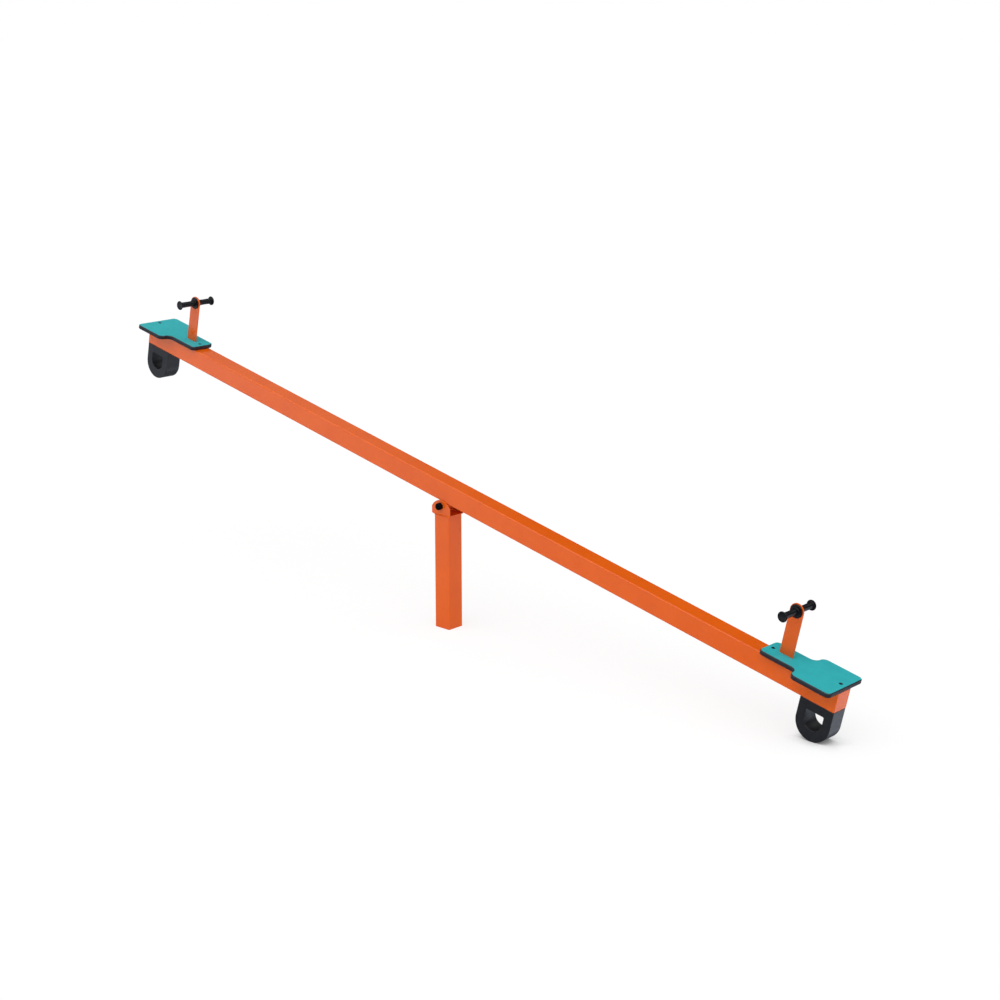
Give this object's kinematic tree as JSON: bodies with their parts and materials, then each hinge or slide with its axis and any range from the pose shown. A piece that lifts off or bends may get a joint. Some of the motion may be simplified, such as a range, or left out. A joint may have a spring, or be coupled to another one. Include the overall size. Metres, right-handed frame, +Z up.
{
  "type": "seesaw",
  "caption": "Playground seesaw: steel beam rocking on a single post, with a board seat, T-handle and D-shaped rubber bumper at each end.",
  "frame": {"origin": "middle of the post's foot, on the ground", "axes": "+Z up; the beam lies along X with its +X end down at rest; the axle lies along Y"},
  "size_m": [4.0875, 0.233, 1.2737],
  "materials": {
    "orange_paint": "glossy powder coat",
    "teal_board": "fine-textured sheet with a black core",
    "black_plastic": "satin",
    "rubber": "moulded, matt",
    "zinc_steel": "zinc plated",
    "dark_steel": "blackened",
    "nylon": "natural"
  },
  "bodies": {
    "root": {"post_tube": "orange_paint", "post_foot_plate": "orange_paint", "pivot_bracket": "orange_paint", "axle_bolt": "zinc_steel", "axle_nut": "zinc_steel", "axle_washer_front": "zinc_steel", "axle_washer_rear": "zinc_steel", "axle_cap_front": "black_plastic", "axle_cap_rear": "black_plastic"},
    "beam": {"beam_tube": "orange_paint", "hub_tube": "orange_paint", "hub_saddle": "orange_paint", "bush_front": "nylon", "bush_rear": "nylon", "beam_end_plate_low": "orange_paint", "seat_board_low": "teal_board", "handle_plate_low": "orange_paint", "handle_tube_low": "zinc_steel", "grip_low_left": "black_plastic", "grip_low_right": "black_plastic", "bumper_low": "rubber", "bumper_strip_low": "zinc_steel", "seat_bolt_low_1": "dark_steel", "seat_nut_low_1": "zinc_steel", "bumper_bolt_low_1": "zinc_steel", "bumper_nut_low_1": "zinc_steel", "seat_bolt_low_2": "dark_steel", "seat_nut_low_2": "zinc_steel", "bumper_bolt_low_2": "zinc_steel", "bumper_nut_low_2": "zinc_steel", "beam_end_plate_high": "orange_paint", "seat_board_high": "teal_board", "handle_plate_high": "orange_paint", "handle_tube_high": "zinc_steel", "grip_high_left": "black_plastic", "grip_high_right": "black_plastic", "bumper_high": "rubber", "bumper_strip_high": "zinc_steel", "seat_bolt_high_1": "dark_steel", "seat_nut_high_1": "zinc_steel", "bumper_bolt_high_1": "zinc_steel", "bumper_nut_high_1": "zinc_steel", "seat_bolt_high_2": "dark_steel", "seat_nut_high_2": "zinc_steel", "bumper_bolt_high_2": "zinc_steel", "bumper_nut_high_2": "zinc_steel"}
  },
  "joints": [
    {"name": "beam_tilt", "type": "hinge", "parent": "root", "child": "beam", "pos_m": [0, 0, 0.5574], "axis": [0, 1, 0], "range_deg": [-24.46, 0]}
  ]
}
